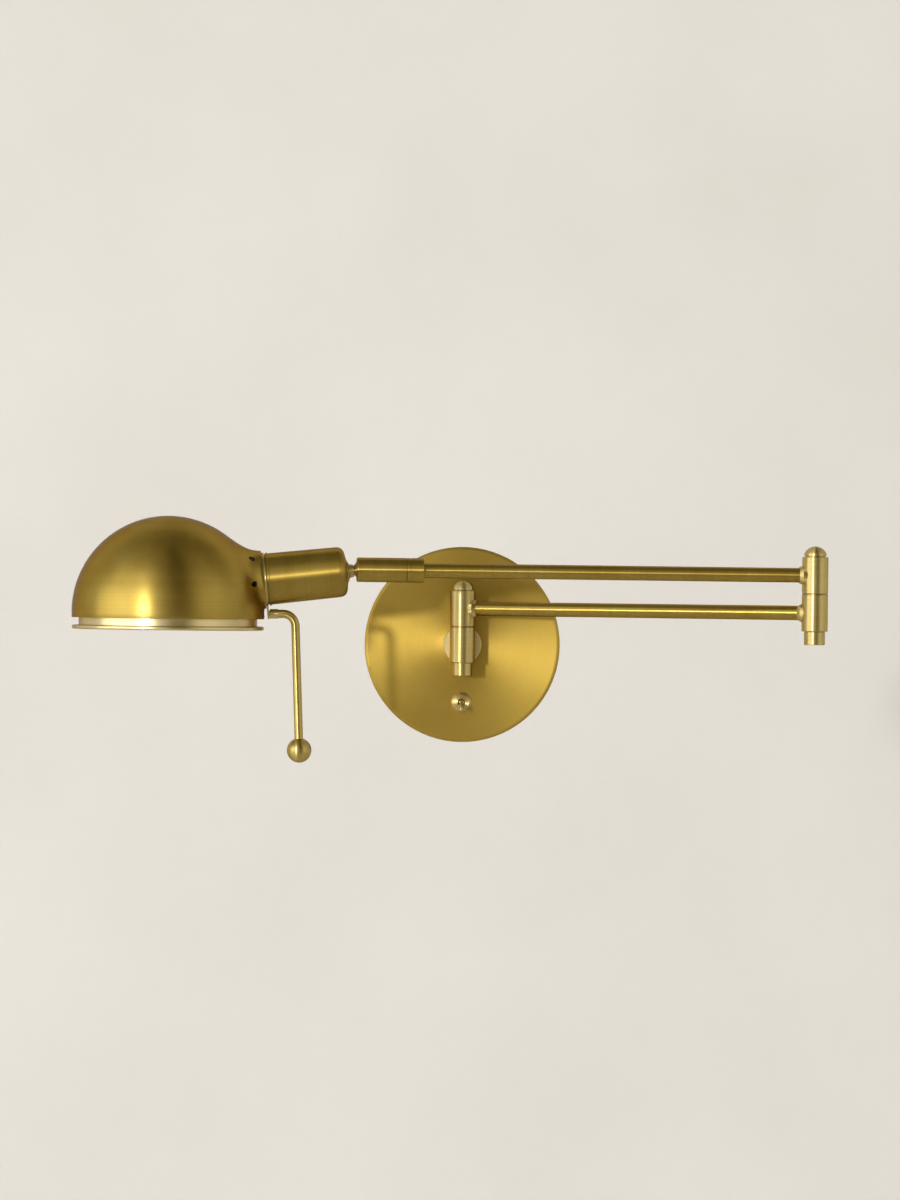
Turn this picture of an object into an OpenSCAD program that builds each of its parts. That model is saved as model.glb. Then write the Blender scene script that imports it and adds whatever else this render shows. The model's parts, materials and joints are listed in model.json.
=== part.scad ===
// Swing-arm wall light: a round canopy, two arms on vertical pivots, a ball joint in a turned
// sleeve, and a domed task shade on its side with a steering rod under the neck.
// Millimetres, +Z up. The wall is the plane y = 0, the light reaches towards -y, and the
// origin is the centre of the canopy on the wall. The light is drawn half folded.

/* [Canopy] */
// Outside diameter of the canopy
canopy_d = 133.4; // [125:0.1:160]
// Depth from the wall to the face of the canopy
canopy_depth = 22; // [20:0.5:30]
// Sheet thickness of the canopy
canopy_wall = 1.2; // [0.8:0.1:1.6]
// Radius of the rolled front edge
canopy_edge_r = 2.5; // [2:0.1:5]

/* [Mounting bracket] */
// Distance between the centres of the two box-screw slots
slot_spacing = 79.4; // [76:0.1:84]
// End-to-end length of each slot
slot_l = 14.3; // [8:0.1:18]
// Width of each slot
slot_w = 4.8; // [4:0.1:5.5]
// Width of the bracket's strap
strap_w = 16; // [12:0.5:20]
// Thickness of the bracket's strap
strap_t = 1.6; // [1.2:0.1:2.5]
// Length of the bent ears, measured from the wall
ear_l = 13; // [11:0.5:16]
// Diameter of the threaded centre hole
strap_hole_d = 10.2; // [8:0.1:12]
// Distance of the two canopy screws from the wall
set_screw_y = 7.5; // [6.5:0.1:9]
// Thread diameter of the two canopy screws
set_screw_d = 4; // [3:0.1:4.5]
// Length of the two canopy screws
set_screw_l = 7; // [5:0.5:9]
// Distance of the ground screw from the centre
ground_x = 19; // [14:0.5:24]
// Thread diameter of the ground screw
ground_screw_d = 4; // [3:0.1:4.5]

/* [Pivots] */
// Distance from the wall to the axis of the wall pivot
pivot_reach = 41; // [38:0.5:60]
// Outside diameter of every pivot barrel
barrel_d = 17; // [15.5:0.1:22]
// Height of one pivot barrel
barrel_h = 24.1; // [20:0.1:30]
// Chamfer on the barrel edges
barrel_chamfer = 0.4; // [0.2:0.1:0.8]
// Outside diameter of the hollow pivot pins
pin_d = 10; // [9:0.1:10.5]
// Bore of the hollow pivot pins
pin_bore_d = 7; // [5:0.1:7.5]
// Thickness of the friction washer between two barrels
washer_t = 0.4; // [0.3:0.1:1]
// Diameter of the friction washers
washer_d = 16.8; // [14:0.1:16.8]
// Diameter of the domed caps
cap_d = 14.4; // [14:0.1:17]
// Height of the domed caps
cap_h = 6.8; // [6:0.1:7.2]
// Height of the straight skirt under the dome
cap_skirt = 1.5; // [0.5:0.1:2]
// Diameter of the turned step under the caps
cap_step_d = 13; // [12:0.1:13.6]
// Height of that step
cap_step_h = 0.5; // [0.3:0.1:0.8]
// Diameter of the round bottom nuts
nut_d = 13.6; // [12.5:0.1:16]
// Height of the round bottom nuts
nut_h = 8.8; // [7:0.1:12]
// Width of the spanner slot in the bottom nuts
nut_slot_w = 1.4; // [1:0.1:2]
// How far a pin is screwed into its cap
cap_engage = 3.4; // [2:0.1:4]
// How far a pin is screwed into its bottom nut
nut_engage = 6; // [4:0.1:6.5]
// Diameter of the collar that holds an arm tube in a barrel
socket_d = 12.4; // [11:0.1:13]
// How far the collar stands out of the barrel
socket_l = 2.2; // [0.8:0.1:3]

/* [Boss on the canopy] */
// Diameter of the round boss between canopy and barrel
boss_d = 26; // [22:0.5:34]
// How deep the barrel lies in the boss
boss_saddle = 0.9; // [0.4:0.1:2]
// Thread diameter of the hollow nipple through canopy and boss
nipple_d = 10.2; // [9.5:0.1:11]
// Bore of the nipple
nipple_bore_d = 6.5; // [5:0.1:7]
// Thickness of the lock washer
lock_washer_t = 0.8; // [0.6:0.1:1.2]
// Diameter of the lock washer
lock_washer_d = 18; // [16:0.5:20]
// Width across flats of the nipple's hex nut
nipple_nut_af = 15; // [14:0.5:16]
// Height of the nipple's hex nut
nipple_nut_h = 3.5; // [3:0.1:5]

/* [Toggle switch] */
// Distance of the switch below the canopy's centre
switch_drop = 39.5; // [36:0.5:42]
// Diameter of the threaded bushing
bushing_d = 7.2; // [7:0.1:8]
// Bore of the bushing, in which the lever pivots
bushing_bore_d = 5.2; // [5:0.1:5.4]
// How far the bushing stands out of the canopy
bushing_out = 4; // [3.6:0.1:4.4]
// Diameter of the domed dress nut
dress_nut_d = 13.8; // [12:0.1:15]
// Height of the domed dress nut
dress_nut_h = 3; // [2.4:0.1:3.4]
// Half of the lever's travel, in degrees
toggle_throw = 15; // [10:0.5:16]
// Length of the lever from its pivot to the centre of its tip
lever_l = 15; // [12:0.5:18]
// Diameter of the lever's tip
lever_tip_d = 3.4; // [3:0.1:4]
// Diameter of the lever at its pivot
lever_root_d = 2.2; // [1.8:0.1:2.4]
// Width of the switch body
switch_body_w = 13.2; // [11:0.1:15]
// Height of the switch body
switch_body_h = 19; // [15:0.5:21]
// Depth of the switch body
switch_body_t = 11; // [9:0.5:12]

/* [Arms] */
// Distance between the two pivot axes of the lower arm
lower_arm_l = 246.8; // [200:0.1:320]
// Distance from the elbow axis to the centre of the ball joint
upper_reach = 295.6; // [292:0.1:360]
// Outside diameter of the arm tubes
tube_d = 9.5; // [9:0.1:9.8]
// Wall thickness of the arm tubes
tube_wall = 1; // [0.7:0.1:1.5]
// Angle of the lower arm away from the wall, as drawn
lower_yaw = 21.6; // [10:0.1:60]
// Angle of the upper arm away from the wall, as drawn
upper_yaw = 3.6; // [0:0.1:20]

/* [Swivel sleeve] */
// Outside diameter of the sleeve and its collar
sleeve_d = 15.9; // [15.7:0.1:18]
// Length of the turning sleeve
sleeve_l = 32.5; // [31.5:0.1:34]
// Length of the fixed collar behind it
collar_l = 11; // [10:0.1:14]
// Chamfer on the ends of sleeve and collar
sleeve_chamfer = 0.3; // [0.2:0.1:0.8]
// Radius of the rounded edge at the sleeve's mouth
mouth_edge_r = 1; // [0.5:0.1:1.1]
// Distance of the turned groove from the parting line
groove_x = 2.3; // [1.5:0.1:3]
// Width of the turned groove
groove_w = 0.5; // [0.3:0.1:1]
// Depth of the turned groove
groove_h = 0.4; // [0.2:0.1:0.8]
// Diameter of the hollow spigot that the sleeve turns on
spigot_d = 10; // [9.4:0.1:10.4]
// Bore of the spigot
spigot_bore_d = 7; // [5:0.1:7.4]
// Bore of the sleeve
sleeve_bore_d = 13.5; // [13.4:0.1:14]
// Length of the bush that runs on the spigot
bush_l = 5.6; // [4:0.1:6]
// Length of the nut that keeps the sleeve on the spigot
keeper_l = 3.6; // [2.5:0.1:4]

/* [Ball joint] */
// Diameter of the ball
ball_d = 12.7; // [12.4:0.1:12.8]
// Distance from the ball's centre to the mouth of the sleeve
mouth_l = 3.9; // [3.6:0.1:4]
// Diameter of the sleeve's mouth
mouth_d = 11.2; // [11:0.1:11.3]
// Diameter of the hollow stud
stud_d = 6.4; // [6:0.1:6.6]
// Bore of the stud for the wires
stud_bore_d = 3.6; // [3:0.1:4]
// Bare stud between the mouth and the lock nut
stud_gap = 2; // [1.8:0.1:4]
// Length of the bell-shaped lock nut
lock_nut_l = 4; // [3:0.1:5]
// Diameter of the lock nut's wide end
lock_nut_d = 13.6; // [11:0.1:14]
// Diameter of the lock nut's narrow end
lock_nut_tip_d = 8.4; // [8:0.1:8.6]
// Length of the cup behind the ball
cup_l = 7.5; // [6.5:0.1:8]
// Height of the conical spring washer
spring_h = 1.9; // [1.5:0.1:2.2]
// Sheet thickness of the conical spring washer
spring_t = 0.6; // [0.4:0.1:0.8]
// Thickness of the stop ring that the spring washer bears on
stop_ring_t = 2; // [1.5:0.1:2.5]
// How far the shade hangs below the arm's line, as drawn, in degrees
head_droop = 6.4; // [3:0.1:9]

/* [Socket housing] */
// Length of the housing
housing_l = 50.8; // [48:0.1:70]
// Diameter of the housing at the shade
housing_d = 33.4; // [33.2:0.1:40]
// Diameter of the housing at its closed end
housing_end_d = 32.5; // [32.2:0.1:33.2]
// Wall thickness of the housing
housing_wall = 1; // [0.7:0.1:1.1]
// Radius of the shoulder at the closed end
shoulder_r = 5; // [4:0.1:6]
// Slope of the closed end, in degrees
end_cone = 11; // [4:1:20]
// Diameter of the thin lip at the open end
lip_d = 34.6; // [33.6:0.1:41]
// Thickness of the thin lip at the open end
lip_t = 1.2; // [0.8:0.1:2]
// Width of the groove between the lip and the rod's plate
lip_gap = 1; // [0.6:0.1:1.6]
// Diameter of that groove
lip_gap_d = 32.8; // [32.6:0.1:33.2]

/* [Lampholder and bulb] */
// Outside diameter of the lampholder
holder_d = 29.4; // [29:0.1:29.8]
// Where the lampholder starts, from the closed end of the housing
holder_start = 9.9; // [9.5:0.1:13]
// Thickness of the lampholder's floor
holder_floor = 6; // [5:0.5:8]
// How far the lampholder's skirt reaches into the shade
skirt_l = 9; // [5:0.5:12]
// Length of the screw shell in the lampholder
shell_l = 34; // [30:0.5:38]
// Diameter of the bulb's screw base
bulb_base_d = 26.2; // [26:0.1:26.4]
// Length of the bulb's screw base
bulb_base_l = 24; // [22:0.5:26]
// Diameter of the bulb's glass
bulb_d = 32; // [28:0.5:40]
// Overall length of the bulb
bulb_l = 108; // [95:0.5:120]
// Wall thickness of the bulb's glass
glass_t = 0.8; // [0.5:0.1:1.5]

/* [Shade] */
// Outside radius of the dome
dome_r = 62.3; // [61:0.1:66]
// Height of the dome's centre above its rim
rim_drop = 3.9; // [3:0.1:6]
// Sheet thickness of the shade
shade_wall = 1.2; // [0.8:0.1:1.6]
// Diameter of the neck
neck_d = 38.1; // [37.5:0.1:40]
// Height of the neck's centre above the dome's centre
neck_rise = 21.6; // [20:0.1:25]
// Distance of the neck's plane beyond the dome, at the height of the dome's centre
neck_gap = 0.32; // [0.2:0.01:2]
// Angle up from the rim at which the dome starts to flare into the neck
flare_start = 64; // [55:0.5:66]
// Vent holes over the upper half of the neck
vents = 5; // [3:1:7]
// Diameter of the vent holes
vent_d = 3.8; // [2:0.1:4.2]
// Angle between two vent holes
vent_step = 48; // [40:1:50]
// Distance of the vent holes from the neck's face
vent_x = 5.2; // [5:0.1:7]
// Thickness of the threaded ring inside the neck
neck_ring_t = 2.5; // [2:0.1:3]

/* [Trim ring] */
// Outside diameter of the trim ring's flange
trim_d = 123.6; // [118:0.1:124.4]
// Height of the trim ring's flange
trim_h = 2.6; // [2.2:0.1:5]
// Diameter of the recessed band between shade and flange
band_d = 115; // [112:0.1:117]
// Height of the recessed band
band_h = 4.8; // [3:0.1:6]
// Wall thickness of the trim ring
trim_wall = 1.2; // [1:0.1:2]
// Height of the part that is pressed into the shade
trim_seat_h = 4.5; // [3:0.1:5]

/* [Steering rod] */
// Thickness of the plate between housing and shade
plate_t = 1.3; // [1:0.1:2]
// Diameter of the plate
plate_d = 35; // [34:0.1:37]
// Height of the plate's shoulder, which bears on the neck
hub_t = 1.2; // [0.8:0.1:1.6]
// Diameter of that shoulder
hub_d = 31.8; // [31:0.1:34]
// Width of the plate's tab
tab_w = 6.6; // [6.4:0.1:9]
// Distance from the neck's centre down to the rod's root
rod_drop = 22.4; // [22:0.1:26]
// Diameter of the rod
rod_d = 5.4; // [4.2:0.1:6]
// Thread diameter of the rod's root
rod_thread_d = 4; // [3:0.1:4]
// Straight run from the plate to the bend
rod_run = 8.9; // [7:0.1:12]
// Radius of the bend, on the rod's centreline
rod_bend_r = 8; // [7:0.1:14]
// Angle of the bend
rod_bend = 88.3; // [80:0.1:100]
// Angle between the rod's straight run and the axis of the neck
rod_tilt = 5.7; // [0:0.1:6]
// Straight length from the bend to the centre of the end ball
rod_l = 80.6; // [60:0.1:110]
// Diameter of the end ball
knob_d = 15.9; // [12:0.1:20]
// Length of the ferrule at the rod's root
ferrule_l = 5.3; // [2:0.1:6]
// Diameter of the ferrule
ferrule_d = 6.2; // [6.1:0.1:7.4]

/* [Fits] */
// Radial clearance of a running fit
run_gap = 0.05; // [0.03:0.01:0.08]
// Radial clearance of a screwed or pressed seat
seat_gap = 0.05; // [0.03:0.01:0.08]
// Gap between two faces that turn on each other
face_gap = 0.1; // [0.05:0.01:0.2]
// Clearance round a piece that only passes through a hole
pass_gap = 0.15; // [0.1:0.01:0.3]
// Clearance between the trim ring and the shade
trim_gap = 0.12; // [0.1:0.01:0.3]

/* [Hidden] */
$fn = 64;
STEP = 0.5;
canopy_r = canopy_d / 2;
pin_r = pin_d / 2;
barrel_r = barrel_d / 2;
tube_r = tube_d / 2;
sleeve_r = sleeve_d / 2;

// Heights of the two arms and of the two parting lines
pitch = barrel_h + washer_t + face_gap;
wall_part_z = barrel_h / 2;
elbow_part_z = wall_part_z + pitch;
lower_z = wall_part_z + washer_t + face_gap + barrel_h / 2;
upper_z = lower_z + pitch;
elbow_x = lower_arm_l * cos(lower_yaw);
elbow_y = -pivot_reach - lower_arm_l * sin(lower_yaw);

// Stations along the upper arm, from the elbow axis
mouth_u = upper_reach + mouth_l;
part_u = mouth_u - sleeve_l;
collar_u = part_u - collar_l;
tube_seat = 6.5;
tube_start = pin_r + run_gap + 0.4;
bush_u = part_u + face_gap + 0.2;
keeper_u = bush_u + bush_l + face_gap;
spigot_end = keeper_u + keeper_l + 0.6;
cup_u = upper_reach - 1 - cup_l;
spring_u = cup_u - spring_h;
stop_ring_u = spring_u - stop_ring_t;

// Stations along the head's axis, from the centre of the ball
lock_nut_s = mouth_l + stud_gap;
housing_s = lock_nut_s + lock_nut_l;
lip_s = housing_s + housing_l;
plate_s = lip_s + lip_t + lip_gap;
neck_s = plate_s + plate_t + hub_t;
holder_s = housing_s + holder_start;
holder_end = neck_s + skirt_l;
end_wall = 2;
stud_end = holder_s + holder_floor - 2;
holder_bore_d = holder_d - 1.6;
contact_t = 1.2;
bulb_s = holder_s + holder_floor + contact_t + seat_gap;
base_tip_l = 2;
base_cone_l = 5;
base_end = bulb_s + base_tip_l + base_cone_l + bulb_base_l;

// The shade is a loft of circles. Their planes all turn about one line, where the plane of the
// neck meets the plane of the rim. Up to flare_start each circle is a section of the dome, and
// from there its two ends run on to those of the neck.
neck_angle = 90 - head_droop;
hinge_z = -rim_drop;
hinge_x = dome_r + neck_gap + rim_drop * tan(head_droop);
neck_x = hinge_x - (neck_rise + rim_drop) * tan(head_droop);
neck_t = (neck_rise + rim_drop) / cos(head_droop);
flare_out = -0.15;
flare_in = 0.3;
row_step = 4;
inner_stop = neck_angle - 10;
ring_points = 60;

function chord_mid(a) = hinge_x * cos(a) - hinge_z * sin(a);
function chord_half(a, r) =
    sqrt(pow(chord_mid(a), 2) - pow(hinge_x, 2) - pow(hinge_z, 2) + r * r);
function dome_end(a, r, side) = chord_mid(a) + side * chord_half(a, r);
function dome_slope(a, r, side) =
    (dome_end(a + STEP, r, side) - dome_end(a - STEP, r, side)) / (2 * STEP);
function neck_end(inset, side) = neck_t + side * (neck_d / 2 - inset);
function blend(v0, s0, v1, s1, t) =
    v0 * (1 + 2 * t) * pow(1 - t, 2) + s0 * t * pow(1 - t, 2)
    + v1 * t * t * (3 - 2 * t) + s1 * t * t * (t - 1);
function flare_end(a, inset, side) =
    let (span = neck_angle - flare_start, t = (a - flare_start) / span, r = dome_r - inset)
    blend(dome_end(flare_start, r, side), dome_slope(flare_start, r, side) * span,
          neck_end(inset, side), (side > 0 ? flare_out : flare_in) * span, t);
function section_end(a, inset, side) =
    a <= flare_start ? dome_end(a, dome_r - inset, side) : flare_end(a, inset, side);
function section_point(a, mid, r, q) =
    [hinge_x - (mid + r * cos(q)) * cos(a), r * sin(q), hinge_z + (mid + r * cos(q)) * sin(a)];
function section_ring(a, mid, r) =
    [for (i = [0 : ring_points - 1]) section_point(a, mid, r, 360 * i / ring_points)];
function shell_ring(a, inset) =
    let (near = section_end(a, inset, -1), far = section_end(a, inset, 1))
    section_ring(a, (near + far) / 2, (far - near) / 2);
function row_angles(last, gap) =
    [for (i = [0 : ceil(last / gap)]) last * i / ceil(last / gap)];
function shifted(points, d) = [for (p = points) p + d];
function reversed(rows) = [for (i = [len(rows) - 1 : -1 : 0]) rows[i]];
function arc(c, r, a0, a1, n) =
    [for (i = [0 : n]) c + r * [cos(a0 + (a1 - a0) * i / n), sin(a0 + (a1 - a0) * i / n)]];

// Frames of the moving groups

// Local z runs out of the wall and local y is up
module on_wall() rotate([90, 0, 0]) children();

module at_wall_pivot() translate([0, -pivot_reach, wall_part_z]) children();

// Local x runs from the wall pivot to the elbow
module in_lower_arm() translate([0, -pivot_reach, 0]) rotate([0, 0, -lower_yaw]) children();

module at_elbow() in_lower_arm() translate([lower_arm_l, 0, elbow_part_z]) children();

// Local -x runs from the elbow to the head
module in_upper_arm() translate([elbow_x, elbow_y, 0]) rotate([0, 0, upper_yaw]) children();

// Local z runs along the upper arm, from the elbow axis, and local x is up
module along_upper_arm()
    in_upper_arm() translate([0, 0, upper_z]) rotate([0, -90, 0]) children();

module at_ball() in_upper_arm() translate([-upper_reach, 0, upper_z]) children();

// Local z runs along the head's axis, from the ball to the shade, and local x is up
module along_neck() at_ball() rotate([0, -90 - head_droop, 0]) children();

// The dome's centre, level with the rim
module at_dome()
    at_ball()
        translate([-neck_s * cos(head_droop) - neck_x, 0, -neck_s * sin(head_droop) - neck_rise])
            children();

// Local x runs out of the plate, at the rod's root
module at_rod_root()
    along_neck() translate([-rod_drop, 0, plate_s]) rotate([-90, 90, 0]) children();

// Local x runs along the rod's straight run, local y down along the rod
module along_rod() at_rod_root() rotate([0, 0, rod_tilt]) children();

// Shared shapes

module tube(d, bore, h) difference() {
    cylinder(d = d, h = h);
    translate([0, 0, -1]) cylinder(d = bore, h = h + 2);
}

module chamfered(d, h, c) rotate_extrude()
    polygon([[0, 0], [d / 2 - c, 0], [d / 2, c], [d / 2, h - c], [d / 2 - c, h], [0, h]]);

module hex_nut(af, bore, h) difference() {
    cylinder(d = af / cos(30), h = h, $fn = 6);
    translate([0, 0, -1]) cylinder(d = bore, h = h + 2);
}

// A pivot barrel centred on its own height, with its arm socket towards +x
module arm_barrel(fit) difference() {
    union() {
        translate([0, 0, -barrel_h / 2]) chamfered(barrel_d, barrel_h, barrel_chamfer);
        rotate([0, 90, 0]) cylinder(d = socket_d, h = barrel_r);
        translate([barrel_r, 0, 0]) rotate([0, 90, 0])
            cylinder(d1 = socket_d, d2 = tube_d + 0.7, h = socket_l);
    }
    translate([0, 0, -barrel_h]) cylinder(r = pin_r + fit, h = 2 * barrel_h);
    rotate([0, 90, 0]) cylinder(r = tube_r + seat_gap, h = 2 * barrel_d);
}

// Pivot pieces, with z = 0 at the top of the lower barrel
module pivot_pin(window) difference() {
    translate([0, 0, -barrel_h - nut_engage])
        tube(pin_d, pin_bore_d, 2 * pitch + nut_engage + cap_engage - washer_t);
    // Window for the wires of the swinging arm, open over half the pin
    rotate([0, 0, window]) translate([0, -pin_d, pitch - barrel_h / 2 - tube_r / 2])
        cube([pin_d, 2 * pin_d, tube_r]);
    children();
}

cap_dome_h = cap_h - cap_skirt - cap_step_h;
cap_dome_r = (pow(cap_d / 2, 2) + pow(cap_dome_h, 2)) / (2 * cap_dome_h);

module pivot_cap() translate([0, 0, pitch + face_gap]) difference() {
    union() {
        cylinder(d = cap_step_d, h = cap_step_h + 0.3);
        intersection() {
            translate([0, 0, cap_step_h]) cylinder(d = cap_d, h = cap_h);
            translate([0, 0, cap_h - cap_dome_r]) sphere(r = cap_dome_r);
        }
    }
    translate([0, 0, -1]) cylinder(r = pin_r + seat_gap, h = cap_engage + 1.2);
}

module pivot_nut() translate([0, 0, -barrel_h - nut_h]) difference() {
    chamfered(nut_d, nut_h, barrel_chamfer);
    translate([0, 0, nut_h - nut_engage - 0.3])
        cylinder(r = pin_r + seat_gap, h = nut_engage + 1);
    translate([-nut_d, -nut_slot_w / 2, -1]) cube([2 * nut_d, nut_slot_w, 2.2]);
}

module friction_washer() tube(washer_d, pin_d + 2 * run_gap, washer_t);

// Fixture on the wall

module strap_outline(inset) {
    half = sqrt(pow(canopy_r - canopy_wall, 2) - pow(strap_w / 2, 2)) - 0.4 - inset;
    bend = 3 - inset;
    translate([-half, inset + bend]) square([2 * half, ear_l]);
    translate([-half + bend, inset]) square([2 * (half - bend), ear_l]);
    for (x = [-1, 1]) translate([x * (half - bend), inset + bend]) circle(r = bend);
}

module slot(l, w, h) {
    for (x = [-1, 1]) translate([x * (l - w) / 2, 0, 0]) cylinder(d = w, h = h);
    translate([-(l - w) / 2, -w / 2, 0]) cube([l - w, w, h]);
}

module mounting_bracket() color("silver") on_wall() difference() {
    translate([0, strap_w / 2, 0]) rotate([90, 0, 0]) linear_extrude(strap_w)
        difference() {
            strap_outline(0);
            strap_outline(strap_t);
            translate([-canopy_d, ear_l]) square([2 * canopy_d, canopy_depth]);
        }
    for (x = [-1, 1]) translate([x * slot_spacing / 2, 0, -1]) slot(slot_l, slot_w, 5);
    translate([0, 0, -1]) cylinder(d = strap_hole_d, h = 5);
    translate([ground_x, 0, -1]) cylinder(d = ground_screw_d + 2 * seat_gap, h = 5);
    translate([-canopy_r, 0, set_screw_y]) rotate([0, 90, 0])
        cylinder(d = set_screw_d + 2 * seat_gap, h = canopy_d);
}

module canopy_set_screws() color("goldenrod") on_wall()
    for (side = [0, 1]) mirror([side, 0, 0]) translate([canopy_r - 0.3, 0, set_screw_y])
        rotate([0, -90, 0]) difference() {
            cylinder(d = set_screw_d, h = set_screw_l);
            translate([0, 0, -1]) cylinder(d = set_screw_d * 0.55, h = 2.6, $fn = 6);
        }

module ground_screw() color("green") on_wall() translate([ground_x, 0, 0]) {
    cylinder(d = ground_screw_d, h = strap_t + 0.5);
    translate([0, 0, strap_t]) difference() {
        chamfered(2 * ground_screw_d, 2.4, 0.4);
        translate([-ground_screw_d, -0.5, 1.4]) cube([2 * ground_screw_d, 1, 2]);
    }
}

module canopy_outline(inset, back) {
    flat_r = canopy_r - canopy_edge_r;
    side_h = canopy_depth - canopy_edge_r;
    translate([0, back]) square([flat_r, canopy_depth - inset - back]);
    translate([0, back]) square([canopy_r - inset, side_h - back]);
    translate([flat_r, side_h]) circle(r = canopy_edge_r - inset);
}

module canopy() color("darkgoldenrod") on_wall() difference() {
    rotate_extrude() difference() {
        canopy_outline(0, 0);
        canopy_outline(canopy_wall, -1);
    }
    translate([0, 0, canopy_depth / 2])
        cylinder(d = nipple_d + 2 * pass_gap, h = canopy_depth);
    translate([0, -switch_drop, canopy_depth / 2])
        cylinder(d = bushing_d + 2 * pass_gap, h = canopy_depth);
    translate([-canopy_d, 0, set_screw_y]) rotate([0, 90, 0])
        cylinder(d = set_screw_d + 2 * pass_gap, h = 2 * canopy_d);
}

module wall_boss() color("goldenrod") on_wall() difference() {
    translate([0, 0, canopy_depth])
        chamfered(boss_d, pivot_reach - barrel_r + boss_saddle - canopy_depth, 0.5);
    translate([0, 0, canopy_depth - 1]) cylinder(d = nipple_d + 2 * pass_gap, h = barrel_d);
    translate([0, boss_d, pivot_reach]) rotate([90, 0, 0])
        cylinder(r = barrel_r + seat_gap, h = 2 * boss_d);
}

nipple_front = pivot_reach - pin_r - run_gap - 0.4;
nipple_back = canopy_depth - canopy_wall - lock_washer_t - nipple_nut_h - 1.5;

module wall_nipple() color("silver") on_wall() translate([0, 0, nipple_back])
    tube(nipple_d, nipple_bore_d, nipple_front - nipple_back);

module nipple_lock_washer() color("silver") on_wall()
    translate([0, 0, canopy_depth - canopy_wall - lock_washer_t])
        tube(lock_washer_d, nipple_d + 2 * pass_gap, lock_washer_t);

module nipple_hex_nut() color("silver") on_wall()
    translate([0, 0, canopy_depth - canopy_wall - lock_washer_t - nipple_nut_h])
        hex_nut(nipple_nut_af, nipple_d + 2 * seat_gap, nipple_nut_h);

module wall_fixed_barrel() color("goldenrod") difference() {
    at_wall_pivot() translate([0, 0, -barrel_h]) difference() {
        chamfered(barrel_d, barrel_h, barrel_chamfer);
        translate([0, 0, -1]) cylinder(r = pin_r + seat_gap, h = barrel_h + 2);
    }
    on_wall() cylinder(d = nipple_d + 2 * seat_gap, h = pivot_reach);
}

module wall_pivot_pin() color("silver") at_wall_pivot() pivot_pin(-90)
    // Hole for the wires from the canopy
    translate([0, 0, -barrel_h / 2]) rotate([-90, 0, 0]) cylinder(d = pin_bore_d * 0.7, h = pin_d);

module wall_pivot_cap() color("gold") at_wall_pivot() pivot_cap();

module wall_pivot_nut() color("gold") at_wall_pivot() pivot_nut();

module wall_friction_washer() color("dimgray") at_wall_pivot() friction_washer();

// Toggle switch

module at_switch() on_wall() translate([0, -switch_drop, 0]) children();

bushing_back = canopy_depth - canopy_wall - 4.6;

module switch_body() color("dimgray") at_switch()
    translate([0, 0, bushing_back - switch_body_t]) {
        translate([-switch_body_w / 2, -switch_body_h / 2, 0])
            cube([switch_body_w, switch_body_h, switch_body_t]);
        for (y = [-1, 1]) translate([-2, y * 5 - 0.4, -2.4]) cube([4, 0.8, 3]);
    }

module switch_bushing() color("gold") at_switch() translate([0, 0, bushing_back]) {
    tube(bushing_d, bushing_bore_d, canopy_depth + bushing_out - bushing_back);
    tube(bushing_d + 4, bushing_bore_d, 1);
}

module switch_back_nut() color("silver") at_switch()
    translate([0, 0, canopy_depth - canopy_wall - 2.2])
        hex_nut(11, bushing_d + 2 * seat_gap, 2.2);

// The dome runs from the edge of the nut to a small flat round the bushing
dress_edge = 0.6;
dress_flat_r = bushing_d / 2 + 1.3;
dress_dome_z = (pow(dress_nut_d / 2, 2) + pow(dress_edge, 2) - pow(dress_flat_r, 2)
    - pow(dress_nut_h, 2)) / (2 * (dress_edge - dress_nut_h));
dress_dome_r = sqrt(pow(dress_nut_d / 2, 2) + pow(dress_edge - dress_dome_z, 2));

module switch_dress_nut() color("goldenrod") at_switch()
    translate([0, 0, canopy_depth]) difference() {
        intersection() {
            cylinder(d = dress_nut_d, h = dress_nut_h);
            translate([0, 0, dress_dome_z]) sphere(r = dress_dome_r);
        }
        translate([0, 0, -1]) cylinder(d = bushing_d + 2 * seat_gap, h = dress_nut_h + 2);
    }

module switch_lever() color("gold") at_switch() translate([0, 0, canopy_depth])
    rotate([toggle_throw, 0, 0]) {
        sphere(d = bushing_bore_d - 2 * run_gap);
        cylinder(d1 = lever_root_d, d2 = lever_tip_d, h = lever_l);
        translate([0, 0, lever_l]) sphere(d = lever_tip_d);
    }

// Lower arm

module lower_arm_wall_barrel() color("goldenrod")
    in_lower_arm() translate([0, 0, lower_z]) arm_barrel(run_gap);

module lower_arm_tube() color("goldenrod") in_lower_arm()
    translate([tube_start, 0, lower_z]) rotate([0, 90, 0])
        tube(tube_d, tube_d - 2 * tube_wall, lower_arm_l - 2 * tube_start);

module lower_arm_elbow_barrel() color("goldenrod")
    in_lower_arm() translate([lower_arm_l, 0, lower_z]) rotate([0, 0, 180]) arm_barrel(seat_gap);

module elbow_pin() color("silver") at_elbow() pivot_pin(0)
    // Hole for the wires from the lower arm
    translate([0, 0, -barrel_h / 2]) rotate([0, -90, 0]) cylinder(d = pin_bore_d * 0.7, h = pin_d);

module elbow_cap() color("gold") at_elbow() pivot_cap();

module elbow_nut() color("gold") at_elbow() pivot_nut();

module elbow_friction_washer() color("dimgray") at_elbow() friction_washer();

// Upper arm

module upper_arm_barrel() color("goldenrod")
    in_upper_arm() translate([0, 0, upper_z]) rotate([0, 0, 180]) arm_barrel(run_gap);

module upper_arm_tube() color("goldenrod") along_upper_arm()
    translate([0, 0, tube_start])
        tube(tube_d, tube_d - 2 * tube_wall, collar_u + tube_seat - tube_start);

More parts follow.
